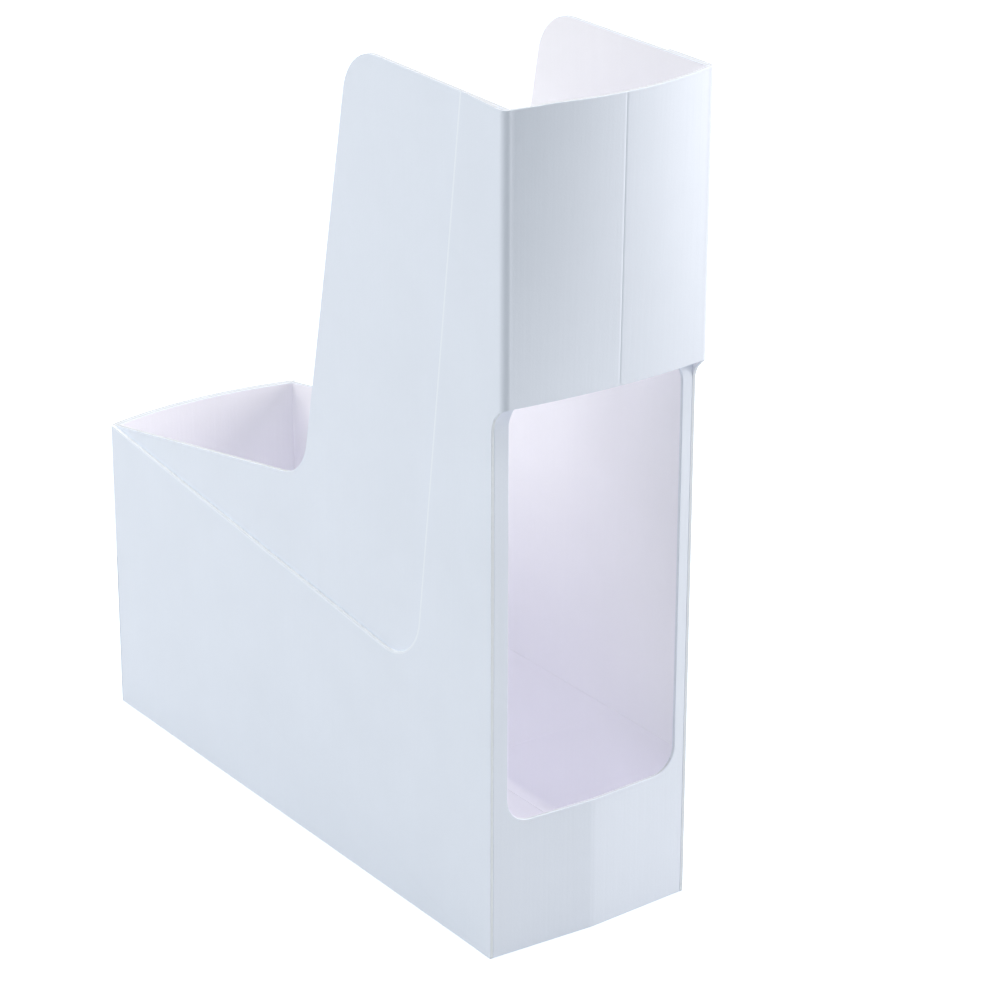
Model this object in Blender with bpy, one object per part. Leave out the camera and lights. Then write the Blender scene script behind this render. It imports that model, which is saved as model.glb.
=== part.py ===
"""Cardboard magazine file, standing open.

A tube of folded board: two tall side walls, a window back with a top band, a low front and a
floor. Back, front and floor each have a crease down the middle, so that the walls can close
together and the file folds flat. Metres, +Z up, +X to the right wall, +Y to the low front.
"""

import math

import bmesh
import bpy

# Driving dimensions, metres.
WIDTH = 0.086            # over the side walls' outer faces
DEPTH = 0.256            # over the fold lines of back and front
HEIGHT = 0.3115          # top edge of walls and band
FRONT_HEIGHT = 0.1195    # top edge of the low front
BOARD = 0.0013           # one ply
GAP = 0.0003             # air between neighbouring plies
CENTRE_Y = 0.0044        # moves the fold-line centre so that the box centre is at the origin

# Mouth cut of the inner ply and of the outer ply: straight rise, inner corner, upright, (y, z).
LINER_CORNER = (-0.0096, 0.1434)
LINER_TOP_Y = -0.0428
OUTER_CORNER = (-0.0824, 0.0943)
OUTER_TOP_Y = -0.1103
MOUTH_RADIUS = 0.020
LINER_FRONT_FOOT = 0.066     # inner ply's lower edge at the front, falls to the floor at the back
LINER_BACK_FOOT = 0.0016

# Back: window, its strips and the band above it.
WINDOW_LEFT = -0.0360
WINDOW_RIGHT = 0.0374
WINDOW_FOOT = 0.051
WINDOW_HEAD = 0.2086
WINDOW_RADIUS = 0.0095
BACK_TOP = 0.216
BAND_FOOT = 0.2083
BAND_NOTCH = 0.0095          # radius of the quarter-round notch at the band's fold lines
BAND_STEP = 0.007            # band stands this far behind the window strips
BAND_CORNER_RADIUS = 0.003
BAND_BULGE_LOW = 0.0028
BAND_BULGE_TOP = 0.0075
BACK_BULGE = 0.0022          # outward set of the back's crease below the window

# Front: bows outward, more at the top.
FRONT_BULGE_LOW = 0.0022
FRONT_BULGE_TOP = 0.0057

# Floor and the flaps that turn up from it inside the walls.
FLAP_HEIGHT = 0.0585
FLOOR_END = 0.1262
FLAP_END = 0.1250
CREASE_GAP = 0.00015         # each half stops this far from its crease
FLOOR_FREE_GAP = 0.0018      # free edge of the right floor half to the right flap

HALF_WIDTH = WIDTH / 2
HALF_DEPTH = DEPTH / 2
PLY = BOARD + GAP
ARC_STEPS = 8

# Fold lines, as points on each hinge axis. Outer faces at the corners, closing faces at creases.
BACK_CORNER = (-HALF_WIDTH, -HALF_DEPTH, 0.0)
BACK_CREASE = (0.0, -HALF_DEPTH - BACK_BULGE + BOARD, 0.0)
RIGHT_CORNER = (HALF_WIDTH, -HALF_DEPTH, 0.0)
FRONT_CORNER = (-HALF_WIDTH, HALF_DEPTH, 0.0)
FRONT_CREASE = (0.0, HALF_DEPTH + FRONT_BULGE_LOW - BOARD, 0.0)
FLOOR_EDGE = (-HALF_WIDTH + 3 * PLY, 0.0, BOARD)
FLOOR_CREASE = (0.0, 0.0, 0.0)
REST = (0.0, 0.0, 0.0)

WHITE = (0.80, 0.83, 0.86)
LAVENDER = (0.74, 0.74, 0.80)


def clear_scene():
    for obj in list(bpy.data.objects):
        bpy.data.objects.remove(obj, do_unlink=True)


def board_material(name, colour):
    material = bpy.data.materials.new(name)
    material.use_nodes = True
    shader = material.node_tree.nodes["Principled BSDF"]
    shader.inputs["Base Color"].default_value = (*colour, 1.0)
    shader.inputs["Roughness"].default_value = 0.75
    return material


def add_object(name, mesh_data, fold_line, colour):
    """Closes a bmesh into a named object whose origin lies on its fold line."""
    bmesh.ops.recalc_face_normals(mesh_data, faces=mesh_data.faces)
    mesh = bpy.data.meshes.new(name)
    for vertex in mesh_data.verts:
        vertex.co.x -= fold_line[0]
        vertex.co.y -= fold_line[1]
        vertex.co.z -= fold_line[2]
    mesh_data.to_mesh(mesh)
    mesh_data.free()
    obj = bpy.data.objects.new(name, mesh)
    obj.location = (fold_line[0], fold_line[1] + CENTRE_Y, fold_line[2])
    obj.data.materials.append(board_material(name, colour))
    bpy.context.scene.collection.objects.link(obj)
    return obj


def rounded(corners):
    """Outline with each (u, v, radius) corner replaced by an arc when its radius isn't zero."""
    outline = []
    count = len(corners)
    for index, (u, v, radius) in enumerate(corners):
        if radius == 0:
            outline.append((u, v))
            continue
        before = corners[index - 1]
        after = corners[(index + 1) % count]
        a = math.atan2(before[1] - v, before[0] - u)
        b = math.atan2(after[1] - v, after[0] - u)
        turn = (b - a + math.pi) % (2 * math.pi) - math.pi
        reach = radius / math.tan(abs(turn) / 2)
        middle = a + turn / 2
        away = radius / math.sin(abs(turn) / 2)
        centre = (u + away * math.cos(middle), v + away * math.sin(middle))
        start = math.atan2(v + reach * math.sin(a) - centre[1], u + reach * math.cos(a) - centre[0])
        end = math.atan2(v + reach * math.sin(b) - centre[1], u + reach * math.cos(b) - centre[0])
        sweep = (end - start + math.pi) % (2 * math.pi) - math.pi
        for step in range(ARC_STEPS + 1):
            angle = start + sweep * step / ARC_STEPS
            outline.append((centre[0] + radius * math.cos(angle), centre[1] + radius * math.sin(angle)))
    return outline


def prism(outline, place_low, place_high):
    """Closed solid between two copies of an outline. Each placing function gives a 3-D point."""
    solid = bmesh.new()
    low = [solid.verts.new(place_low(u, v)) for u, v in outline]
    high = [solid.verts.new(place_high(u, v)) for u, v in outline]
    count = len(outline)
    solid.faces.new(low)
    solid.faces.new(reversed(high))
    for index in range(count):
        following = (index + 1) % count
        solid.faces.new((low[index], high[index], high[following], low[following]))
    return solid


def sheet(columns, rows, outer, inner):
    """Closed solid from two grids of points, outer(i, j) and inner(i, j), joined round the rim."""
    solid = bmesh.new()
    faces = []
    for point in (outer, inner):
        grid = [[solid.verts.new(point(i, j)) for j in range(rows + 1)] for i in range(columns + 1)]
        faces.append(grid)
        for i in range(columns):
            for j in range(rows):
                solid.faces.new((grid[i][j], grid[i + 1][j], grid[i + 1][j + 1], grid[i][j + 1]))
    rim = [(i, 0) for i in range(columns)] + [(columns, j) for j in range(rows)]
    rim += [(i, rows) for i in range(columns, 0, -1)] + [(0, j) for j in range(rows, 0, -1)]
    for (i, j), (k, m) in zip(rim, rim[1:] + rim[:1]):
        solid.faces.new((faces[0][i][j], faces[0][k][m], faces[1][k][m], faces[1][i][j]))
    return solid


def wall_ply(name, side, depth_in, outline, fold_line, colour):
    """Flat ply inside a side wall. depth_in is how far its outer face lies inside the wall's face."""
    outer = side * (HALF_WIDTH - depth_in)
    inner = side * (HALF_WIDTH - depth_in - BOARD)
    solid = prism(outline, lambda y, z: (outer, y, z), lambda y, z: (inner, y, z))
    add_object(name, solid, fold_line, colour)


def outer_ply_outline():
    front = HALF_DEPTH - PLY
    back = -HALF_DEPTH + GAP / 3
    return rounded([
        (front, 0, 0), (front, FRONT_HEIGHT, 0), (*OUTER_CORNER, MOUTH_RADIUS),
        (OUTER_TOP_Y, HEIGHT, 0), (back, HEIGHT, 0), (back, 0, 0),
    ])


def liner_outline():
    front = HALF_DEPTH - 2 * PLY
    back = -HALF_DEPTH + PLY
    return rounded([
        (front, LINER_FRONT_FOOT, 0), (front, FRONT_HEIGHT, 0), (*LINER_CORNER, MOUTH_RADIUS),
        (LINER_TOP_Y, HEIGHT, MOUTH_RADIUS), (back, HEIGHT, 0), (back, LINER_BACK_FOOT, 0),
        (back + 0.004, LINER_BACK_FOOT, 0),
    ])


def flap_outline():
    return [(FLAP_END - 0.001, 0), (FLAP_END - 0.001, FLAP_HEIGHT), (-FLAP_END, FLAP_HEIGHT), (-FLAP_END, 0)]


def side_wall(side, label, fold_line):
    wall_ply(f"{label}_wall_outer", side, 0, outer_ply_outline(), fold_line, WHITE)
    wall_ply(f"{label}_wall_liner", side, PLY, liner_outline(), fold_line, LAVENDER)
    wall_ply(f"{label}_base_flap", side, 2 * PLY, flap_outline(), fold_line, LAVENDER)


def back_half_outline(side):
    """Lower panel, the strip beside the window and the bar over it, as seen from behind."""
    edge = side * (HALF_WIDTH - PLY)
    crease = side * CREASE_GAP
    window = WINDOW_LEFT if side < 0 else WINDOW_RIGHT
    return rounded([
        (edge, 0, 0), (edge, BACK_TOP, 0), (crease, BACK_TOP, 0), (crease, WINDOW_HEAD, 0),
        (window, WINDOW_HEAD, WINDOW_RADIUS), (window, WINDOW_FOOT, WINDOW_RADIUS),
        (crease, WINDOW_FOOT, 0), (crease, 0, 0),
    ])


def back_face(x):
    return -HALF_DEPTH - BACK_BULGE * (1 - abs(x) / (HALF_WIDTH - PLY))


def back_half(side, label, fold_line):
    solid = prism(
        back_half_outline(side),
        lambda x, z: (x, back_face(x), z),
        lambda x, z: (x, back_face(x) + BOARD, z),
    )
    add_object(f"back_{label}_panel", solid, fold_line, WHITE)


def band_path(inset, bulge):
    """Half of the band's plan, from the wall's fold line round the corner to the crease."""
    edge = HALF_WIDTH - inset
    plane = -HALF_DEPTH - BAND_STEP + inset
    radius = BAND_CORNER_RADIUS - min(inset, BAND_CORNER_RADIUS - 0.0004)
    path = [(edge, -HALF_DEPTH - GAP * 2 / 3), (edge, -HALF_DEPTH - BAND_STEP * 0.3)]
    for step in range(5):
        angle = math.pi / 2 * step / 4
        path.append((edge - radius * (1 - math.cos(angle)), plane + radius * (1 - math.sin(angle))))
    start = edge - radius
    for step in range(1, 9):
        x = start + (CREASE_GAP - start) * (step / 8) ** 1.5
        path.append((x, plane - bulge * (1 - (x / start) ** 2)))
    return path


def band_feet(path):
    """Lower edge of the band: level, with a quarter-round notch that starts at the wall's fold line."""
    feet = []
    run = 0.0
    for index, place in enumerate(path):
        if index:
            run += math.dist(path[index - 1], place)
        left = max(0.0, 1 - run / BAND_NOTCH)
        feet.append(BAND_FOOT - BAND_NOTCH * (1 - math.sqrt(1 - left ** 2)))
    return feet


def band_half(side, label, fold_line):
    rows = 4
    feet = band_feet(band_path(0, 0))

    def point(inset):
        def place(i, j):
            bulge = BAND_BULGE_LOW + (BAND_BULGE_TOP - BAND_BULGE_LOW) * j / rows
            x, y = band_path(inset, bulge)[i]
            return (side * x, y, feet[i] + (HEIGHT - feet[i]) * j / rows)
        return place

    solid = sheet(len(feet) - 1, rows, point(0), point(BOARD))
    add_object(f"back_{label}_band", solid, fold_line, WHITE)


def front_bow(x, z):
    bulge = FRONT_BULGE_LOW + (FRONT_BULGE_TOP - FRONT_BULGE_LOW) * z / FRONT_HEIGHT
    return bulge * (1 - (x / HALF_WIDTH) ** 2)


def front_half_ply(name, side, depth_in, edge, foot, fold_line, colour):
    columns, rows = 8, 3

    def point(extra):
        def place(i, j):
            x = edge + (CREASE_GAP - edge) * i / columns
            z = foot + (FRONT_HEIGHT - foot) * j / rows
            return (side * x, HALF_DEPTH + front_bow(x, z) - depth_in - extra, z)
        return place

    add_object(name, sheet(columns, rows, point(0), point(BOARD)), fold_line, colour)


def front_half(side, label, fold_line):
    front_half_ply(f"front_{label}_panel", side, 0, HALF_WIDTH, 0, fold_line, WHITE)
    liner_edge = HALF_WIDTH - 2 * PLY
    front_half_ply(f"front_{label}_liner", side, PLY, liner_edge, LINER_FRONT_FOOT + 0.002, fold_line, LAVENDER)


def floor_half(side, label, free_gap, fold_line):
    edge = side * (HALF_WIDTH - 3 * PLY - free_gap)
    crease = side * CREASE_GAP
    outline = [(edge, -FLOOR_END), (edge, FLOOR_END), (crease, FLOOR_END), (crease, -FLOOR_END)]
    solid = prism(outline, lambda x, y: (x, y, 0), lambda x, y: (x, y, BOARD))
    add_object(f"floor_{label}", solid, fold_line, LAVENDER)


def main():
    clear_scene()
    side_wall(-1, "left", REST)
    side_wall(1, "right", RIGHT_CORNER)
    back_half(-1, "left", BACK_CORNER)
    back_half(1, "right", BACK_CREASE)
    band_half(-1, "left", BACK_CORNER)
    band_half(1, "right", BACK_CREASE)
    front_half(-1, "left", FRONT_CORNER)
    front_half(1, "right", FRONT_CREASE)
    floor_half(-1, "left", 0, FLOOR_EDGE)
    floor_half(1, "right", FLOOR_FREE_GAP - GAP, FLOOR_CREASE)


main()
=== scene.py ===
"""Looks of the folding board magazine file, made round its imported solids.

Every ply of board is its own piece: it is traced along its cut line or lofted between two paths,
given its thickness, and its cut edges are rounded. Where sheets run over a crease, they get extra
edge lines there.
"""

import math

import bpy
from mathutils import Matrix, Vector


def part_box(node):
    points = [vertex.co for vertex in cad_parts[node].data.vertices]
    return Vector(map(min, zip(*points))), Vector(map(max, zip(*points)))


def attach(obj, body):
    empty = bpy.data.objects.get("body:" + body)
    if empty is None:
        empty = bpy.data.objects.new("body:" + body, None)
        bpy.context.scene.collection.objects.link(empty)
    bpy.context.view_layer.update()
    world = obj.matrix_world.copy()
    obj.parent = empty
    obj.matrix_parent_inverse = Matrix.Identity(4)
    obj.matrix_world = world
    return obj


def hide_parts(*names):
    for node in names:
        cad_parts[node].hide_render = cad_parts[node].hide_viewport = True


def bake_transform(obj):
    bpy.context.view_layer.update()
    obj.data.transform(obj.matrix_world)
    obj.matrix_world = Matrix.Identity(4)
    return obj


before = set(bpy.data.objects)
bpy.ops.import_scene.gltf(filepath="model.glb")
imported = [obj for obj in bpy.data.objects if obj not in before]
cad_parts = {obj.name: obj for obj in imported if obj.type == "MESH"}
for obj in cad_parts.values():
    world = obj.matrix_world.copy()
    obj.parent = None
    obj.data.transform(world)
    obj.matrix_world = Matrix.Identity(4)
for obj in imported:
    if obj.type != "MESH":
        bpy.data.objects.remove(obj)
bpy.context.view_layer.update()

bl_info = {
    "name": "Folding board magazine file",
    "version": (1, 0, 0),
    "blender": (4, 5, 0),
    "location": "View3D > Sidebar > File",
    "description": "Builds the plies, creases and studio of a folding board magazine file",
    "category": "Object",
}

# Sizes that every ply shares, metres. MIDDLE_Y is the middle of the fold lines in the frame.
MIDDLE_Y = 0.0044
HALF_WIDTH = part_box("right_wall_outer")[1].x
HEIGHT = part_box("left_wall_outer")[1].z
FRONT_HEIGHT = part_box("front_left_panel")[1].z
BACK_FOLD = -0.128 + MIDDLE_Y
FRONT_FOLD = 0.128 + MIDDLE_Y
ARC_STEPS = 12
HAIR = 0.0001                # two places closer than this are taken as one

# Seams where a wall's outer ply meets the band or the front.
SEAM_BACK = BACK_FOLD - 0.0014
SEAM_FRONT = FRONT_FOLD - 0.0012

# Mouth cuts of the outer ply and of the liner: inner corner (y, z) and y of the upright at the top.
OUTER_CORNER = (-0.0824 + MIDDLE_Y, 0.0943)
OUTER_TOP = -0.1103 + MIDDLE_Y
LINER_CORNER = (-0.0096 + MIDDLE_Y, 0.1434)
LINER_TOP = -0.0428 + MIDDLE_Y

# The liner's lower edge climbs from the back to the front.
LINER_FRONT_FOOT = 0.066
LINER_BACK_FOOT = 0.0016
LINER_FOOT_RUN = 0.004
LINER_FOOT_RISE = Vector((0, 0.2504, 0.0644)).normalized()

# Back: the window, the band over it and the notches under the band's ends.
WINDOW = (-0.0360, 0.0374)
WINDOW_FOOT = 0.051
WINDOW_HEAD = 0.2086
BACK_BULGE = 0.0022
BAND_FOOT = 0.2083
NOTCH = 0.0095
NOTCH_STEPS = (0, 0.02, 0.06, 0.14, 0.27, 0.45, 0.7, 1)
SHOULDER_STEPS = (0.0008, 0.0016, 0.0025, 0.0035)
DROP_START = 0.026           # the corner drop begins this far to the left and is whole DROP_RUN on
DROP_RUN = 0.015

# Front: bows outwards, more at the top, and turns into the walls with a small radius.
FRONT_BULGE_LOW = 0.0022
FRONT_BULGE_TOP = 0.0057
FRONT_CORNER = 0.0012

# The flap's crease runs from the floor's middle up to its rear corner.
FLAP_CREASE_START = Vector((0, 0.003 + MIDDLE_Y, 0))
FLAP_CREASE = Vector((0, -0.087, 0.0535)).normalized()
FLAP_CREASE_DEPTH = 0.00018

# Material slots of every ply.
OUTSIDE, INSIDE, CUT_RIM, CUT_HIGHLIGHT, SHADED_UPPER_CUT = range(5)
BOARD_SLOTS = ("coated_white_face", "pale_inner_face", "cut_board_edge", "white_cut_highlight",
               "upper_cut_painted_shade")


# ---------------------------------------------------------------- settings

class BoardSizes(bpy.types.PropertyGroup):
    """Sizes of the board and of its cuts."""
    ply: bpy.props.FloatProperty(
        name="Ply", description="Thickness of one ply", default=0.0013, unit="LENGTH")
    gap: bpy.props.FloatProperty(
        name="Gap", description="Air between neighbouring plies", default=0.0003, unit="LENGTH")
    flap: bpy.props.FloatProperty(
        name="Flap", description="Thickness of the flap's pared edge",
        default=0.00028, unit="LENGTH")
    contact: bpy.props.FloatProperty(
        name="Contact", description="Hair of air between plies that lie together", default=0.00003,
        unit="LENGTH")
    edge_round: bpy.props.FloatProperty(
        name="Edge rounding", description="Rounding of the cut edges",
        default=0.00026, unit="LENGTH")
    mouth_radius: bpy.props.FloatProperty(
        name="Mouth radius", description="Inner corner radius of the mouth cut",
        default=0.020, unit="LENGTH")
    window_radius: bpy.props.FloatProperty(
        name="Window radius", description="Corner radius of the window",
        default=0.0095, unit="LENGTH")
    band_step: bpy.props.FloatProperty(
        name="Band step", description="How far the band stands behind the strips",
        default=0.007, unit="LENGTH")
    band_corner: bpy.props.FloatProperty(
        name="Band corner", description="Rounding of the band's side corners",
        default=0.003, unit="LENGTH")
    band_bulge_low: bpy.props.FloatProperty(
        name="Band bulge, low", description="Bulge of the band's lower edge",
        default=0.0028, unit="LENGTH")
    band_bulge_top: bpy.props.FloatProperty(
        name="Band bulge, top", description="Bulge of the band's top edge",
        default=0.0075, unit="LENGTH")
    groove: bpy.props.FloatProperty(
        name="Crease depth", description="Depth of the band's and the front's pressed crease",
        default=0.00015, unit="LENGTH")
    panel_groove: bpy.props.FloatProperty(
        name="Panel crease depth", description="Depth of the crease under the window",
        default=0.00008,
        unit="LENGTH")
    crease_lean: bpy.props.FloatProperty(
        name="Crease lean", description="How far the band's crease stands to the right at its foot",
        default=0.0027, unit="LENGTH")
    corner_drop: bpy.props.FloatProperty(
        name="Corner drop", description="How much lower the top edge is at the left rear corner",
        default=0.0011, unit="LENGTH")
    # Width of the painted highlight along the mouth cut.
    lip_highlight_width: bpy.props.FloatProperty(
        name="Lip width", description="Width of the pale lip along the mouth cut", default=0.0008,
        unit="LENGTH")
    telegraph: bpy.props.FloatProperty(
        name="Liner step", description="How far the liner's edge shows through the outer ply",
        default=0.00014, unit="LENGTH")


class BoardColours(bpy.types.PropertyGroup):
    """Colours of the board's faces and cut edges."""
    outer: bpy.props.FloatVectorProperty(
        name="Outer face", description="Coated white face", subtype="COLOR", size=3,
        default=(0.802, 0.855, 0.958))
    inner: bpy.props.FloatVectorProperty(
        name="Inner face", description="Uncoated inner face", subtype="COLOR", size=3,
        default=(0.922, 0.919, 0.967))
    core: bpy.props.FloatVectorProperty(
        name="Cut edge", description="Board core at the upright cuts", subtype="COLOR", size=3,
        default=(0.78, 0.82, 0.87))
    # Darker copy of the cut edge colour for the cuts that face up: painted shade that holds back
    # the strong light from above.
    upper_core_painted_shade: bpy.props.FloatVectorProperty(
        name="Upper cut edge", description="Open fibres of the cuts that face up",
        subtype="COLOR", size=3,
        default=(0.68, 0.705, 0.745))
    # Paler copy of the cut edge colour on the outer ply's mouth: painted highlight along the cut.
    cut_highlight: bpy.props.FloatVectorProperty(
        name="Cut lip", description="White cut edge of the outer ply's mouth",
        subtype="COLOR", size=3,
        default=(0.925, 0.955, 0.992))
    # Painted highlight: a pale line on the outer face where the rounded mouth cut catches the
    # light.
    lip_highlight: bpy.props.FloatVectorProperty(
        name="Lip", description="Pale line on the outer face along the mouth cut",
        subtype="COLOR", size=3,
        default=(0.855, 0.905, 0.985))


class StudioSettings(bpy.types.PropertyGroup):
    """Camera and light."""
    lens: bpy.props.FloatProperty(
        name="Lens", description="Focal length", default=129.83, unit="CAMERA")
    power: bpy.props.FloatProperty(
        name="Light", description="Brightness of all softboxes together",
        default=1.0, subtype="FACTOR")
    sky: bpy.props.FloatProperty(
        name="Sky", description="Even light all round", default=0.235)
    floor_glow: bpy.props.FloatProperty(
        name="Floor glow", description="Light that the pale floor sends back up", default=0.225)
    floor_lift: bpy.props.FloatProperty(
        name="Floor lift", description="How much paler the floor looks than its paper",
        default=0.62)


# Softboxes: azimuth, elevation, distance, width, height, power and tint.
SOFTBOXES = {
    "right_front_softbox": (60, 16, 1.7, 0.9, 1.4, 25.2, (1.0, 0.955, 0.92)),
    "left_softbox": (-105, 18, 1.8, 0.9, 1.4, 6.4, (1.0, 1.0, 0.98)),
    "left_back_softbox": (-130, 18, 1.8, 0.9, 1.4, 11.6, (1.0, 0.97, 0.93)),
    "top_softbox": (30, 86, 1.5, 1.3, 1.3, 15.8, (1.0, 0.97, 0.95)),
    "back_softbox": (160, 50, 1.7, 1.2, 1.2, 5.0, (1.0, 0.97, 0.97)),
}

BACKDROP = 1.1               # brightness of the backdrop to look at

# Camera: place, then azimuth, elevation and roll of its view, radians.
CAMERA_PLACE = (-0.68724, -1.02658 + MIDDLE_Y, 0.63699)
CAMERA_VIEW = (-0.624681, 0.395918, 0.002959)


# ---------------------------------------------------------------- modelling helpers

def deselect_all():
    if bpy.context.mode != "OBJECT":
        bpy.ops.object.mode_set(mode="OBJECT")
    bpy.ops.object.select_all(action="DESELECT")


def trace(name, points):
    """A chain of vertices, extruded from point to point, left open in edit mode and selected."""
    deselect_all()
    bpy.ops.mesh.primitive_plane_add(size=0.001, location=points[0])
    obj = bpy.context.object
    obj.name = name
    obj.data.name = name
    bpy.ops.object.transform_apply(location=True, rotation=True, scale=True)
    bpy.ops.object.mode_set(mode="EDIT")
    bpy.ops.mesh.select_all(action="SELECT")
    bpy.ops.mesh.merge(type="CENTER")
    for here, there in zip(points, points[1:]):
        step = Vector(there) - Vector(here)
        bpy.ops.mesh.extrude_vertices_move(TRANSFORM_OT_translate={"value": step})
    bpy.ops.mesh.select_all(action="SELECT")
    return obj


def faces_towards(obj, direction):
    """Turns the whole open sheet so that its faces look along direction."""
    bpy.ops.mesh.select_all(action="SELECT")
    bpy.ops.mesh.normals_make_consistent(inside=False)
    bpy.ops.object.mode_set(mode="OBJECT")
    total = sum((face.normal * face.area for face in obj.data.polygons), Vector())
    bpy.ops.object.mode_set(mode="EDIT")
    if total.dot(Vector(direction)) < 0:
        bpy.ops.mesh.select_all(action="SELECT")
        bpy.ops.mesh.flip_normals()


def cut_across(planes):
    """Adds edge lines to the mesh in edit mode where each (point, normal) plane crosses it."""
    for point, normal in planes:
        bpy.ops.mesh.select_all(action="SELECT")
        bpy.ops.mesh.bisect(plane_co=point, plane_no=normal)


def use_modifier(obj, kind, **settings):
    modifier = obj.modifiers.new(kind.title(), kind)
    for key, value in settings.items():
        setattr(modifier, key, value)
    bpy.ops.object.modifier_apply(modifier=modifier.name)


def give_thickness(obj, thickness):
    """Solidifies away from the sheet's faces, with the slots outside, inside and cut rim."""
    bpy.ops.object.mode_set(mode="OBJECT")
    use_modifier(obj, "SOLIDIFY", thickness=thickness, offset=-1, use_even_offset=True,
                 use_rim=True, material_offset=INSIDE, material_offset_rim=CUT_RIM)


def paint_cut_highlight(obj):
    """Gives the swept cut of the outer ply, below the top edge, the white cut material, paler than
    the other cuts: a painted highlight along the mouth.
    """
    lowest, highest, rear = 0.05, HEIGHT - 0.002, BACK_FOLD + 0.004
    for face in obj.data.polygons:
        cut = face.material_index in (CUT_RIM, SHADED_UPPER_CUT)
        if cut and lowest < face.center.z < highest and face.center.y > rear:
            face.material_index = CUT_HIGHLIGHT


def paint_shade_on_upper_cuts(obj):
    """Gives the cut rims that face up a darker copy of the cut edge material, as painted shade
    against the light from above.
    """
    upwards = 0.55
    for face in obj.data.polygons:
        if face.material_index == CUT_RIM and face.normal.z > upwards:
            face.material_index = SHADED_UPPER_CUT


def paint_inner(obj):
    """Gives every face of a piece that is pale on both sides the inner face's material."""
    for face in obj.data.polygons:
        face.material_index = INSIDE


def round_edges(obj, keep_sharp=None):
    """Rounds every sharp edge, apart from those whose two ends keep_sharp accepts."""
    width = bpy.context.scene.board_sizes.edge_round
    bpy.ops.object.mode_set(mode="EDIT")
    bpy.ops.mesh.select_mode(type="EDGE")
    bpy.ops.mesh.select_all(action="DESELECT")
    bpy.ops.mesh.edges_select_sharp(sharpness=math.radians(55))
    bpy.ops.object.mode_set(mode="OBJECT")
    if keep_sharp:
        for edge in obj.data.edges:
            ends = [obj.data.vertices[index].co for index in edge.vertices]
            if edge.select and keep_sharp(ends[0]) and keep_sharp(ends[1]):
                edge.select = False
    bpy.ops.object.mode_set(mode="EDIT")
    bpy.ops.mesh.bevel(offset=width, segments=3, profile=0.5, affect="EDGES",
                       clamp_overlap=True, material=OUTSIDE)
    bpy.ops.mesh.select_mode(type="VERT")
    bpy.ops.object.mode_set(mode="OBJECT")
    # Cut rims that face up get painted shade.
    paint_shade_on_upper_cuts(obj)


def finish_piece(obj):
    """Smooth shading by angle, then normals weighted by face, keeping the sharp edges."""
    bpy.ops.object.select_all(action="DESELECT")
    obj.select_set(True)
    bpy.context.view_layer.objects.active = obj
    bpy.ops.object.shade_smooth_by_angle(angle=math.radians(40))
    use_modifier(obj, "WEIGHTED_NORMAL", weight=100, keep_sharp=True)


def add_slots(obj):
    for name in BOARD_SLOTS:
        obj.data.materials.append(bpy.data.materials[name])


def arc(centre, radius, start, end, steps):
    """Points on a circle arc in a plane, angles in degrees."""
    angles = [math.radians(start + (end - start) * step / steps) for step in range(steps + 1)]
    return [(centre[0] + radius * math.cos(a), centre[1] + radius * math.sin(a)) for a in angles]


def rounded(corners):
    """Closed outline whose corners with a radius become arcs."""
    outline = []
    for index, (u, v, radius) in enumerate(corners):
        if radius == 0:
            outline.append((u, v))
            continue
        before = Vector(corners[index - 1][:2]) - Vector((u, v))
        after = Vector(corners[(index + 1) % len(corners)][:2]) - Vector((u, v))
        half = before.angle(after) / 2
        middle = (before.normalized() + after.normalized()).normalized()
        centre = Vector((u, v)) + middle * (radius / math.sin(half))
        start = Vector((u, v)) + before.normalized() * (radius / math.tan(half)) - centre
        end = Vector((u, v)) + after.normalized() * (radius / math.tan(half)) - centre
        first = math.atan2(start.y, start.x)
        sweep = (math.atan2(end.y, end.x) - first + math.pi) % (2 * math.pi) - math.pi
        outline += arc(centre, radius, math.degrees(first), math.degrees(first + sweep), ARC_STEPS)
    return outline


def holed_sheet(name, outside, hole, place):
    """A flat sheet with a hole, open in edit mode: both cut lines are rings, filled between."""
    ring = trace(name + "_hole", [place(u, v) for u, v in hole])
    bpy.ops.mesh.edge_face_add()
    bpy.ops.mesh.delete(type="ONLY_FACE")
    obj = trace(name, [place(u, v) for u, v in outside])
    bpy.ops.mesh.edge_face_add()
    bpy.ops.mesh.delete(type="ONLY_FACE")
    bpy.ops.object.mode_set(mode="OBJECT")
    ring.select_set(True)
    obj.select_set(True)
    bpy.context.view_layer.objects.active = obj
    bpy.ops.object.join()
    bpy.ops.object.mode_set(mode="EDIT")
    bpy.ops.mesh.select_all(action="SELECT")
    bpy.ops.mesh.fill(use_beauty=True)
    bpy.ops.mesh.dissolve_limited(angle_limit=math.radians(1))
    return obj


def flat_ply(name, outline, place, towards, thickness, planes=(), sharp=None, bend=None):
    """A flat ply: its cut line traced and filled, cut across where it must bend, then thickened."""
    obj = trace(name, [place(u, v) for u, v in outline])
    bpy.ops.mesh.edge_face_add()
    cut_across(planes)
    faces_towards(obj, towards)
    if bend:
        bend(obj)
    add_slots(obj)
    give_thickness(obj, thickness)
    round_edges(obj, sharp)
    return obj


def press_flap_crease(obj):
    """Presses the flap's slanted crease into the open sheet."""
    across = Vector((0, -FLAP_CREASE.z, FLAP_CREASE.y))
    foot_round = 0.002
    cut_across([(FLAP_CREASE_START + across * shift, across) for shift in (-0.0005, 0, 0.0005)])
    bpy.ops.object.mode_set(mode="OBJECT")
    for vertex in obj.data.vertices:
        off = abs((vertex.co - FLAP_CREASE_START).dot(across))
        if off < HAIR and vertex.co.z > foot_round:
            vertex.co.x -= FLAP_CREASE_DEPTH
    bpy.ops.object.mode_set(mode="EDIT")


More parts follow.
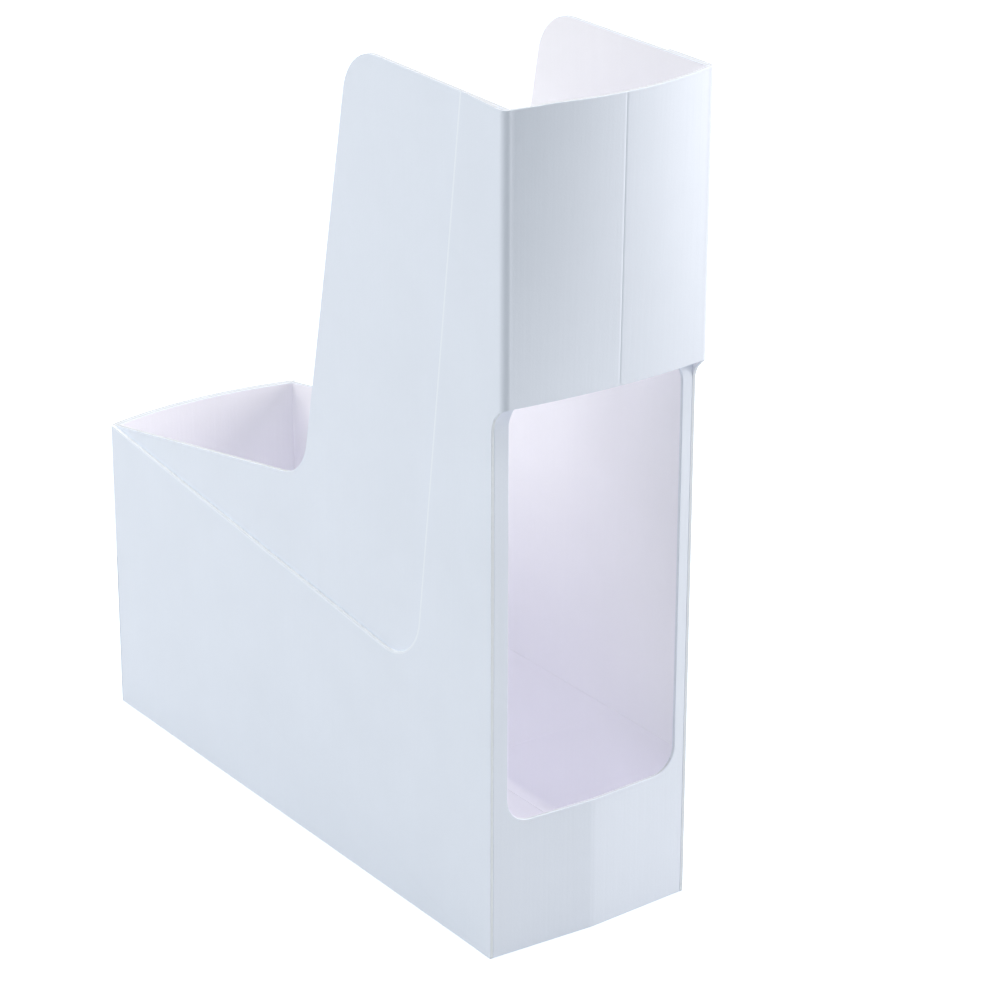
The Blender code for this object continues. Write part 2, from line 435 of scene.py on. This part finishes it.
def lofted_ply(name, low_path, high_path, towards, thickness, cuts, sharp=None, bend=None):
    """A curved ply between a lower and an upper path with equally many points."""
    low = trace(name + "_low", low_path)
    deselect_all()
    high = trace(name, high_path)
    bpy.ops.object.mode_set(mode="OBJECT")
    low.select_set(True)
    high.select_set(True)
    bpy.context.view_layer.objects.active = high
    bpy.ops.object.join()
    bpy.ops.object.mode_set(mode="EDIT")
    bpy.ops.mesh.select_mode(type="EDGE")
    bpy.ops.mesh.select_all(action="SELECT")
    bpy.ops.mesh.bridge_edge_loops(type="PAIRS", number_cuts=cuts, interpolation="LINEAR")
    bpy.ops.mesh.select_mode(type="VERT")
    faces_towards(high, towards)
    if bend:
        bend(high)
    add_slots(high)
    give_thickness(high, thickness)
    round_edges(high, sharp)
    return high


def near(value, target):
    return abs(value - target) < 1.2 * HAIR


def upright_cuts(shifts, axis, start=0.0):
    """Planes across an axis, for cut_across, at these distances from start."""
    normal = Vector((1, 0, 0)) if axis == "x" else Vector((0, 1, 0))
    return [(normal * (start + shift), normal) for shift in shifts]


def both_ways(distances):
    return [side * distance for distance in distances for side in (1, -1)]


# ---------------------------------------------------------------- outlines and paths

def notch_height(run):
    """Height of the cut under the band at a distance round the sheet from the wall's fold line."""
    left = max(0.0, 1 - run / NOTCH)
    return BAND_FOOT - NOTCH * (1 - math.sqrt(1 - left ** 2))


def outer_wall_outline(sizes, drop):
    reach = BACK_FOLD - SEAM_BACK
    notch = [(BACK_FOLD - reach * t, notch_height(reach * t)) for t in NOTCH_STEPS]
    outline = rounded([
        (SEAM_FRONT, 0, 0), (SEAM_FRONT, FRONT_HEIGHT, 0), (*OUTER_CORNER, sizes.mouth_radius),
        (OUTER_TOP, HEIGHT, 0), (SEAM_BACK, HEIGHT - drop, 0),
    ])
    return outline + list(reversed(notch)) + [(BACK_FOLD, 0)]


def liner_outline(sizes, drop):
    front = FRONT_FOLD - sizes.ply - sizes.gap
    back = BACK_FOLD + sizes.ply + sizes.gap
    corner = BACK_FOLD - sizes.band_step + sizes.ply + sizes.contact
    over_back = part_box("back_left_panel")[1].z + sizes.gap
    return rounded([
        (front, LINER_FRONT_FOOT, 0), (front, FRONT_HEIGHT, 0), (*LINER_CORNER, sizes.mouth_radius),
        (LINER_TOP, HEIGHT, sizes.mouth_radius), (corner, HEIGHT - drop, 0),
        (corner, over_back, 0), (back, over_back, 0), (back, LINER_BACK_FOOT, 0),
        (back + LINER_FOOT_RUN, LINER_BACK_FOOT, 0),
    ])


def band_path(sizes, bulge, lean, notched):
    """One edge of the band from one shoulder seam to the other, with the crease pressed in."""
    radius = sizes.band_corner
    plane = BACK_FOLD - sizes.band_step
    corner = arc((HALF_WIDTH - radius, plane + radius), radius, 0, -90, 10)
    half = [(HALF_WIDTH, SEAM_BACK)]
    half += [point for point in corner if point[1] < SEAM_BACK - HAIR]
    reach = HALF_WIDTH - radius
    stations = [reach - step for step in SHOULDER_STEPS]
    stations += [reach * (1 - step / 16) for step in range(2, 16)] + [0.0018, 0.0009, 0.0004]
    for x in stations:
        half.append((x, plane - bulge * (1 - (x / reach) ** 2)))
    path = [(-x, y) for x, y in half] + [(0.0, plane - bulge + sizes.groove)]
    path += reversed(half)
    path = [(x + lean * max(0.0, 1 - abs(x) / reach), y) for x, y in path]
    if not notched:
        slant = (sizes.band_bulge_top - sizes.band_bulge_low) / (HEIGHT - BAND_FOOT)
        return [(x, y, HEIGHT - sizes.ply * slant - corner_drop(sizes, x)) for x, y in path]
    runs = [BACK_FOLD - SEAM_BACK]
    for here, there in zip(path, path[1:]):
        runs.append(runs[-1] + math.dist(here, there))
    whole = runs[-1] + runs[0]
    return [(x, y, notch_height(min(run, whole - run))) for (x, y), run in zip(path, runs)]


def corner_drop(sizes, x):
    """How much lower the band's top edge is, only near the left rear corner."""
    return sizes.corner_drop * min(max((-x - DROP_START) / DROP_RUN, 0.0), 1.0)


def front_bow(x, bulge):
    return FRONT_FOLD + bulge * (1 - (x / HALF_WIDTH) ** 2)


def front_path(sizes, half_width, bulge, depth_in, height, wrap):
    """Plan of the front, bowed outwards; with wrap its sides turn into the walls."""
    half = []
    if wrap:
        half.append((half_width, SEAM_FRONT - depth_in))
        centre = (half_width - FRONT_CORNER, FRONT_FOLD - FRONT_CORNER)
        corner = arc(centre, FRONT_CORNER, 0, 90, 6)
        half += corner[1 if near(centre[1], SEAM_FRONT) else 0:]
    else:
        half.append((half_width, front_bow(half_width, bulge) - depth_in))
    reach = half[-1][0]
    for x in [reach * (1 - step / 14) for step in range(1, 14)] + [0.0016, 0.0008]:
        half.append((x, front_bow(x, bulge) - depth_in))
    pressed = sizes.groove if wrap else 0.0
    path = [(-x, y) for x, y in half] + [(0.0, FRONT_FOLD + bulge - depth_in - pressed)]
    return [(x, y, height) for x, y in path + list(reversed(half))]


# ---------------------------------------------------------------- materials

def node(tree, kind, place, **settings):
    made = tree.nodes.new(kind)
    made.location = place
    for key, value in settings.items():
        if key in made.inputs:
            made.inputs[key].default_value = value
        else:
            setattr(made, key, value)
    return made


def calculate(tree, place, operation, *values):
    """A Math node; each value is a number or a socket."""
    made = node(tree, "ShaderNodeMath", place, operation=operation)
    for socket, value in zip(made.inputs, values):
        if isinstance(value, bpy.types.NodeSocket):
            tree.links.new(value, socket)
        else:
            socket.default_value = value
    return made.outputs[0]


def mix_colour(tree, place, factor, low, high):
    mixer = node(tree, "ShaderNodeMix", place, data_type="RGBA")
    tree.links.new(factor, mixer.inputs[0])
    for socket, value in ((6, low), (7, high)):
        if isinstance(value, bpy.types.NodeSocket):
            tree.links.new(value, mixer.inputs[socket])
        else:
            mixer.inputs[socket].default_value = (*value, 1)
    return mixer.outputs[2]


def ramp(tree, place, source, low, high):
    """Map Range from a noise's middle band to low..high."""
    made = node(tree, "ShaderNodeMapRange", place)
    for socket, value in enumerate((0.3, 0.7, low, high), start=1):
        made.inputs[socket].default_value = value
    tree.links.new(source, made.inputs[0])
    return made.outputs[0]


def shade(colour, factor):
    return tuple(channel * factor for channel in colour)


def noise(tree, place, height, scale, detail, stretch=None):
    """Noise on the object's own coordinates, drawn out along an axis where stretch says so."""
    made = node(tree, "ShaderNodeTexNoise", (-900, height), Scale=scale, Detail=detail,
                Roughness=0.6)
    if stretch:
        mapping = node(tree, "ShaderNodeMapping", (-1150, height), Scale=stretch)
        tree.links.new(place, mapping.inputs[0])
        place = mapping.outputs[0]
    tree.links.new(place, made.inputs["Vector"])
    return made.outputs["Fac"]


def specks(tree, place, amount):
    """One where a rare dark fibre lies in the board, else zero."""
    cells = node(tree, "ShaderNodeTexVoronoi", (-900, -600), Scale=95.0, Randomness=1.0)
    tree.links.new(place, cells.inputs["Vector"])
    dot = calculate(tree, (-700, -600), "LESS_THAN", cells.outputs["Distance"], 0.035)
    chance = node(tree, "ShaderNodeSeparateColor", (-700, -750))
    tree.links.new(cells.outputs["Color"], chance.inputs[0])
    rare = calculate(tree, (-550, -750), "LESS_THAN", chance.outputs[0], amount)
    return calculate(tree, (-400, -650), "MULTIPLY", dot, rare)


def board_material(name, colour, grain, streaks, roughness, specular, speck_amount):
    """Board face: cloudy tone, fibre grain, faint upright streaks from the flutes, a few specks."""
    material = bpy.data.materials.new(name)
    material.use_nodes = True
    tree = material.node_tree
    shader = tree.nodes["Principled BSDF"]
    shader.inputs["Specular IOR Level"].default_value = specular
    place = node(tree, "ShaderNodeTexCoord", (-1400, 0)).outputs["Object"]
    cloud = noise(tree, place, 400, 22, 3)
    fibre = noise(tree, place, 150, 1500, 5)
    long_fibre = noise(tree, place, -100, 260, 4, (1, 1, 0.12))
    flute = noise(tree, place, -350, 520, 2, (1, 1, 0.018))
    lighter = tuple(min(1, channel) for channel in shade(colour, 1 + 0.012 * grain))
    tone = mix_colour(tree, (-600, 400), ramp(tree, (-750, 400), cloud, 0, 1),
                      shade(colour, 1 - 0.035 * grain), lighter)
    tone = mix_colour(tree, (-450, 300), ramp(tree, (-750, 150), fibre, 0.0, 0.35), tone,
                      shade(colour, 1 - 0.05 * grain))
    tone = mix_colour(tree, (-300, 250), ramp(tree, (-750, -100), flute, 0, 0.5 * streaks), tone,
                      shade(colour, 1 - 0.03 * grain))
    tone = mix_colour(tree, (-150, 200), specks(tree, place, speck_amount), tone,
                      shade(colour, 0.84))
    tree.links.new(tone, shader.inputs["Base Color"])
    tree.links.new(ramp(tree, (-300, -50), long_fibre, roughness - 0.06, roughness + 0.08),
                   shader.inputs["Roughness"])
    height = calculate(tree, (-450, -300), "ADD", ramp(tree, (-600, -250), fibre, 0, 0.6),
                       ramp(tree, (-600, -400), flute, 0, streaks))
    bump = node(tree, "ShaderNodeBump", (-250, -300), Strength=0.35, Distance=0.00004 * (1 + grain))
    tree.links.new(height, bump.inputs["Height"])
    tree.links.new(bump.outputs[0], shader.inputs["Normal"])
    return material


def paint_lip_highlight(material, colour, sizes):
    """Mixes a painted highlight, a pale line, into the outer face along the mouth cut, upright,
    corner arc and slope.
    """
    tree = material.node_tree
    shader = tree.nodes["Principled BSDF"]
    place = node(tree, "ShaderNodeTexCoord", (-1400, 1300)).outputs["Object"]
    corner = Vector((0, *OUTER_CORNER))
    upright = (Vector((0, OUTER_TOP, HEIGHT)) - corner).normalized()
    slope = (Vector((0, SEAM_FRONT, FRONT_HEIGHT)) - corner).normalized()
    normals = (Vector((0, upright.z, -upright.y)), Vector((0, -slope.z, slope.y)))
    inside = node(tree, "ShaderNodeCombineXYZ", (-500, 1300))
    for socket, normal in enumerate(normals):
        row = 1300 - 250 * socket
        offset = node(tree, "ShaderNodeVectorMath", (-1150, row), operation="DOT_PRODUCT")
        tree.links.new(place, offset.inputs[0])
        offset.inputs[1].default_value = normal
        short = calculate(tree, (-900, row), "SUBTRACT",
                          sizes.mouth_radius + corner.dot(normal), offset.outputs["Value"])
        tree.links.new(calculate(tree, (-700, row), "MAXIMUM", short, 0.0), inside.inputs[socket])
    reach = node(tree, "ShaderNodeVectorMath", (-300, 1300), operation="LENGTH")
    tree.links.new(inside.outputs[0], reach.inputs[0])
    # One on the painted highlight's line along the mouth cut, else zero.
    line = calculate(tree, (-100, 1300), "COMPARE", reach.outputs["Value"],
                     sizes.mouth_radius + sizes.lip_highlight_width / 2, sizes.lip_highlight_width / 2)
    tone = shader.inputs["Base Color"].links[0].from_socket
    tree.links.new(mix_colour(tree, (100, 600), line, tone, colour), shader.inputs["Base Color"])


def edge_material(name, colour):
    """Cut board edge: open fibres with the thin wave of the core between its two faces."""
    material = board_material(name, colour, 1.6, 0.2, 0.85, 0.2, 0.0)
    tree = material.node_tree
    shader = tree.nodes["Principled BSDF"]
    place = node(tree, "ShaderNodeTexCoord", (-1400, 900)).outputs["Object"]
    wave = node(tree, "ShaderNodeTexNoise", (-900, 900), Scale=700.0, Detail=1.0)
    tree.links.new(place, wave.inputs["Vector"])
    core = mix_colour(tree, (100, 400), ramp(tree, (-700, 900), wave.outputs["Fac"], 0, 0.6),
                      shader.inputs["Base Color"].links[0].from_socket, shade(colour, 0.93))
    tree.links.new(core, shader.inputs["Base Color"])


# ---------------------------------------------------------------- operators

SIDES = ((-1, "left", ("left_wall", "back_left")), (1, "right", ("right_wall", "back_right")))


class MAGFILE_OT_materials(bpy.types.Operator):
    """Make the board's materials"""
    bl_idname = "magfile.materials"
    bl_label = "Board materials"

    def execute(self, context):
        colours = context.scene.board_colours
        face = board_material("coated_white_face", tuple(colours.outer), 0.8, 0.6, 0.52, 0.35,
                              0.008)
        # Painted highlight along the outer ply's mouth cut.
        paint_lip_highlight(face, tuple(colours.lip_highlight), context.scene.board_sizes)
        board_material("pale_inner_face", tuple(colours.inner), 0.8, 0.8, 0.72, 0.25, 0.012)
        edge_material("cut_board_edge", tuple(colours.core))
        # The cuts that face up get a darker copy of the cut edge: painted shade.
        edge_material("upper_cut_painted_shade", tuple(colours.upper_core_painted_shade))
        # The outer ply's mouth cut gets a paler copy of the cut edge: painted highlight.
        edge_material("white_cut_highlight", tuple(colours.cut_highlight))
        return {"FINISHED"}


class MAGFILE_OT_outer_walls(bpy.types.Operator):
    """Model the outer plies of both side walls"""
    bl_idname = "magfile.outer_walls"
    bl_label = "Outer walls"

    def execute(self, context):
        sizes = context.scene.board_sizes
        across = Vector((0, -LINER_FOOT_RISE.z, LINER_FOOT_RISE.y))
        line = Vector((0, BACK_FOLD + 0.006, 0.0))
        step_run = 0.001
        planes = [(line + across * shift, across) for shift in (-step_run, 0, step_run)]
        planes += upright_cuts((0.003, 0.0015, 0, -0.0015), "y", BACK_FOLD)
        for side, label, bodies in SIDES:
            def sink(obj):
                """Steps the ply in below the line where the liner behind it ends."""
                bpy.ops.object.mode_set(mode="OBJECT")
                for vertex in obj.data.vertices:
                    off = (vertex.co - line).dot(across) / (2 * step_run)
                    vertex.co.x -= side * sizes.telegraph * min(max(0.5 - off, 0.0), 1.0)
                bpy.ops.object.mode_set(mode="EDIT")

            outline = outer_wall_outline(sizes, corner_drop(sizes, side * HALF_WIDTH))
            obj = flat_ply(
                f"{label}_wall_outer_ply", outline, lambda y, z: (side * HALF_WIDTH, y, z),
                (side, 0, 0), sizes.ply, planes,
                lambda p: near(p.y, SEAM_BACK) or near(p.y, SEAM_FRONT), sink)
            paint_cut_highlight(obj)
            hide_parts(f"{label}_wall_outer")
            finish_piece(obj)
            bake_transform(obj)
        return {"FINISHED"}


class MAGFILE_OT_liners(bpy.types.Operator):
    """Model the inner plies of both side walls"""
    bl_idname = "magfile.liners"
    bl_label = "Liners"

    def execute(self, context):
        sizes = context.scene.board_sizes
        outside = HALF_WIDTH - sizes.ply - sizes.contact
        planes = upright_cuts((0.0028, 0.0014, 0, -0.0014), "y", BACK_FOLD)
        for side, label, bodies in SIDES:
            outline = liner_outline(sizes, corner_drop(sizes, side * HALF_WIDTH))
            obj = flat_ply(
                f"{label}_wall_liner_ply", outline,
                lambda y, z: (side * outside, y, z), (side, 0, 0),
                sizes.ply + sizes.gap - sizes.contact, planes)
            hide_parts(f"{label}_wall_liner")
            finish_piece(obj)
            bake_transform(obj)
        return {"FINISHED"}


class MAGFILE_OT_base_flaps(bpy.types.Operator):
    """Model the flaps that turn up from the floor inside the walls"""
    bl_idname = "magfile.base_flaps"
    bl_label = "Base flaps"

    def execute(self, context):
        sizes = context.scene.board_sizes
        low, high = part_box("right_base_flap")
        outside = HALF_WIDTH - 2 * (sizes.ply + sizes.gap) + sizes.gap - sizes.contact
        for side, label, bodies in SIDES:
            floor_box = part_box(f"floor_{label}")
            floor_edge = abs(floor_box[0 if side < 0 else 1].x) + sizes.contact
            turn = outside - floor_edge
            foot = sizes.ply - sizes.flap
            path = [(outside, high.z)] + arc((floor_edge, foot + turn), turn, 0, -90, 8)
            ends = [[(side * x, y, z) for x, z in path] for y in (low.y, high.y)]
            obj = lofted_ply(f"{label}_base_flap_ply", *ends, (side, 0, -0.2), sizes.flap, cuts=0,
                             bend=press_flap_crease if side > 0 else None)
            paint_inner(obj)
            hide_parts(f"{label}_base_flap")
            finish_piece(obj)
            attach(obj, bodies[0])
        return {"FINISHED"}


class MAGFILE_OT_back_panel(bpy.types.Operator):
    """Model the back's lower panel with the strips beside the window"""
    bl_idname = "magfile.back_panel"
    bl_label = "Back panel"

    def execute(self, context):
        sizes = context.scene.board_sizes
        edge = HALF_WIDTH - sizes.ply - sizes.contact
        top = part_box("back_left_panel")[1].z
        radius = sizes.window_radius
        window = rounded([
            (WINDOW[0], WINDOW_FOOT, radius), (WINDOW[1], WINDOW_FOOT, radius),
            (WINDOW[1], WINDOW_HEAD, radius), (WINDOW[0], WINDOW_HEAD, radius),
        ])
        outside = [(-edge, 0), (-edge, top), (edge, top), (edge, 0)]
        obj = holed_sheet("back_panel_ply", outside, window, lambda x, z: (x, BACK_FOLD, z))
        cut_across(upright_cuts([0] + both_ways((0.0004, 0.0012, 0.0022, 0.0035)), "x"))
        faces_towards(obj, (0, -1, 0))
        bpy.ops.object.mode_set(mode="OBJECT")
        for vertex in obj.data.vertices:
            x = abs(vertex.co.x)
            vertex.co.y -= BACK_BULGE * (1 - x / edge)
            if x < HAIR:
                vertex.co.y += sizes.panel_groove
        add_slots(obj)
        give_thickness(obj, sizes.ply)
        round_edges(obj)
        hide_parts("back_left_panel", "back_right_panel")
        finish_piece(obj)
        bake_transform(obj)
        return {"FINISHED"}


class MAGFILE_OT_back_band(bpy.types.Operator):
    """Model the bulging band over the window"""
    bl_idname = "magfile.back_band"
    bl_label = "Back band"

    def execute(self, context):
        sizes = context.scene.board_sizes
        low = band_path(sizes, sizes.band_bulge_low, sizes.crease_lean, True)
        top_lean = sizes.crease_lean / 9
        high = band_path(sizes, sizes.band_bulge_top, top_lean, False)
        obj = lofted_ply("back_band_ply", low, high, (0, -1, 0), sizes.ply, cuts=12,
                         sharp=lambda p: near(p.y, SEAM_BACK))
        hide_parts("back_left_band", "back_right_band")
        finish_piece(obj)
        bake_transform(obj)
        return {"FINISHED"}


class MAGFILE_OT_front(bpy.types.Operator):
    """Model the low front and the liner behind it"""
    bl_idname = "magfile.front"
    bl_label = "Front"

    def execute(self, context):
        sizes = context.scene.board_sizes
        low = front_path(sizes, HALF_WIDTH, FRONT_BULGE_LOW, 0, 0, True)
        high = front_path(sizes, HALF_WIDTH, FRONT_BULGE_TOP, 0, FRONT_HEIGHT, True)
        obj = lofted_ply("front_panel_ply", low, high, (0, 1, 0), sizes.ply, cuts=8,
                         sharp=lambda p: near(p.y, SEAM_FRONT))
        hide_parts("front_left_panel", "front_right_panel")
        finish_piece(obj)
        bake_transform(obj)
        inset = sizes.ply + sizes.contact
        edge = HALF_WIDTH - inset
        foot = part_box("front_left_liner")[0].z
        foot_bulge = FRONT_BULGE_LOW + (FRONT_BULGE_TOP - FRONT_BULGE_LOW) * foot / FRONT_HEIGHT
        low = front_path(sizes, edge, foot_bulge, inset, foot, False)
        high = front_path(sizes, edge, FRONT_BULGE_TOP, inset, FRONT_HEIGHT, False)
        obj = lofted_ply("front_liner_ply", low, high, (0, 1, 0),
                         sizes.ply + sizes.gap - sizes.contact, cuts=5)
        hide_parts("front_left_liner", "front_right_liner")
        finish_piece(obj)
        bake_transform(obj)
        return {"FINISHED"}


class MAGFILE_OT_floor(bpy.types.Operator):
    """Model the floor, with edge lines along its middle crease"""
    bl_idname = "magfile.floor"
    bl_label = "Floor"

    def execute(self, context):
        sizes = context.scene.board_sizes
        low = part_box("floor_left")[0]
        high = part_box("floor_right")[1]
        outline = [(low.x, low.y), (high.x, low.y), (high.x, high.y), (low.x, high.y)]
        obj = flat_ply("floor_ply", outline, lambda x, y: (x, y, sizes.ply), (0, 0, 1), sizes.ply,
                       upright_cuts([0] + both_ways((0.0004, 0.0013, 0.0026)), "x"))
        paint_inner(obj)
        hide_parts("floor_left", "floor_right")
        finish_piece(obj)
        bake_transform(obj)
        return {"FINISHED"}


class MAGFILE_OT_studio(bpy.types.Operator):
    """Make the pale floor, the soft lights and the camera"""
    bl_idname = "magfile.studio"
    bl_label = "Studio"

    def execute(self, context):
        settings = context.scene.studio_settings
        self.ground(settings)
        for name, box in SOFTBOXES.items():
            self.softbox(name, *box[:5], box[5] * settings.power, box[6])
        self.sky(context, settings.sky)
        self.camera(context, settings.lens)
        context.scene.view_settings.view_transform = "Standard"
        context.scene.cycles.diffuse_bounces = 10
        return {"FINISHED"}

    def ground(self, settings):
        """Pale paper floor, which looks paler to the camera than the light that it sends up."""
        deselect_all()
        bpy.ops.mesh.primitive_circle_add(vertices=64, radius=9.0, fill_type="NGON",
                                          location=(0, 0, -0.0004))
        ground = bpy.context.object
        ground.name = "studio_floor"
        bpy.ops.object.transform_apply(location=True, rotation=True, scale=True)
        material = bpy.data.materials.new("studio_floor_paper")
        material.use_nodes = True
        tree = material.node_tree
        shader = tree.nodes["Principled BSDF"]
        shader.inputs["Base Color"].default_value = (0.5, 0.5, 0.5, 1)
        shader.inputs["Roughness"].default_value = 0.9
        shader.inputs["Specular IOR Level"].default_value = 0.1
        shader.inputs["Emission Color"].default_value = (0.9, 1.0, 1.1, 1)
        seen = node(tree, "ShaderNodeLightPath", (-600, 0)).outputs["Is Camera Ray"]
        lift = calculate(tree, (-300, 0), "MULTIPLY_ADD", seen, settings.floor_lift,
                         settings.floor_glow)
        tree.links.new(lift, shader.inputs["Emission Strength"])
        ground.data.materials.append(material)

    def softbox(self, name, azimuth, elevation, distance, width, height, power, tint):
        a, e = math.radians(azimuth), math.radians(elevation)
        away = Vector((math.sin(a) * math.cos(e), -math.cos(a) * math.cos(e), math.sin(e)))
        aim = Vector((0, 0, 0.15))
        bpy.ops.object.light_add(type="AREA", location=aim + away * distance)
        lamp = bpy.context.object
        lamp.name = name
        lamp.rotation_euler = (-away).to_track_quat("-Z", "Y").to_euler()
        lamp.data.shape = "RECTANGLE"
        lamp.data.size, lamp.data.size_y = width, height
        lamp.data.energy = power
        lamp.data.color = tint

    def sky(self, context, strength):
        """Pale light all round, and plain white to look at."""
        world = bpy.data.worlds.new("studio_sky")
        context.scene.world = world
        world.use_nodes = True
        tree = world.node_tree
        tree.nodes["Background"].inputs[0].default_value = (0.86, 0.96, 0.965, 1)
        seen = node(tree, "ShaderNodeLightPath", (-600, 0)).outputs["Is Camera Ray"]
        lift = calculate(tree, (-300, 0), "MULTIPLY_ADD", seen, BACKDROP - strength, strength)
        tree.links.new(lift, tree.nodes["Background"].inputs[1])

    def camera(self, context, lens):
        azimuth, elevation, roll = CAMERA_VIEW
        back = Vector((math.sin(azimuth) * math.cos(elevation),
                       -math.cos(azimuth) * math.cos(elevation), math.sin(elevation)))
        right = Vector((0, 0, 1)).cross(back).normalized()
        up = back.cross(right)
        turned = right * math.cos(roll) + up * math.sin(roll)
        up = up * math.cos(roll) - right * math.sin(roll)
        bpy.ops.object.camera_add(location=CAMERA_PLACE)
        camera = context.object
        camera.name = "studio_camera"
        camera.rotation_euler = Matrix((turned, up, back)).transposed().to_euler()
        camera.data.sensor_width = 36
        camera.data.lens = lens
        context.scene.camera = camera


STEPS = ("materials", "outer_walls", "liners", "base_flaps", "back_panel", "back_band", "front",
         "floor", "studio")


class MAGFILE_PT_panel(bpy.types.Panel):
    """Lists the steps that build the magazine file"""
    bl_idname = "MAGFILE_PT_panel"
    bl_label = "Magazine file"
    bl_space_type = "VIEW_3D"
    bl_region_type = "UI"
    bl_category = "File"

    def draw(self, context):
        for step in STEPS:
            self.layout.operator(f"magfile.{step}")
        for group in ("board_sizes", "board_colours", "studio_settings"):
            settings = getattr(context.scene, group)
            box = self.layout.box()
            for name in settings.__annotations__:
                box.prop(settings, name)


GROUPS = (("board_sizes", BoardSizes), ("board_colours", BoardColours),
          ("studio_settings", StudioSettings))
CLASSES = (
    BoardSizes, BoardColours, StudioSettings, MAGFILE_OT_materials, MAGFILE_OT_outer_walls,
    MAGFILE_OT_liners, MAGFILE_OT_base_flaps, MAGFILE_OT_back_panel, MAGFILE_OT_back_band,
    MAGFILE_OT_front, MAGFILE_OT_floor, MAGFILE_OT_studio, MAGFILE_PT_panel,
)


def register():
    for item in CLASSES:
        bpy.utils.register_class(item)
    for name, group in GROUPS:
        setattr(bpy.types.Scene, name, bpy.props.PointerProperty(type=group))


def unregister():
    for name, _ in GROUPS:
        delattr(bpy.types.Scene, name)
    for item in reversed(CLASSES):
        bpy.utils.unregister_class(item)


def main():
    register()
    for step in STEPS:
        getattr(bpy.ops.magfile, step)()


if __name__ == "__main__":
    main()
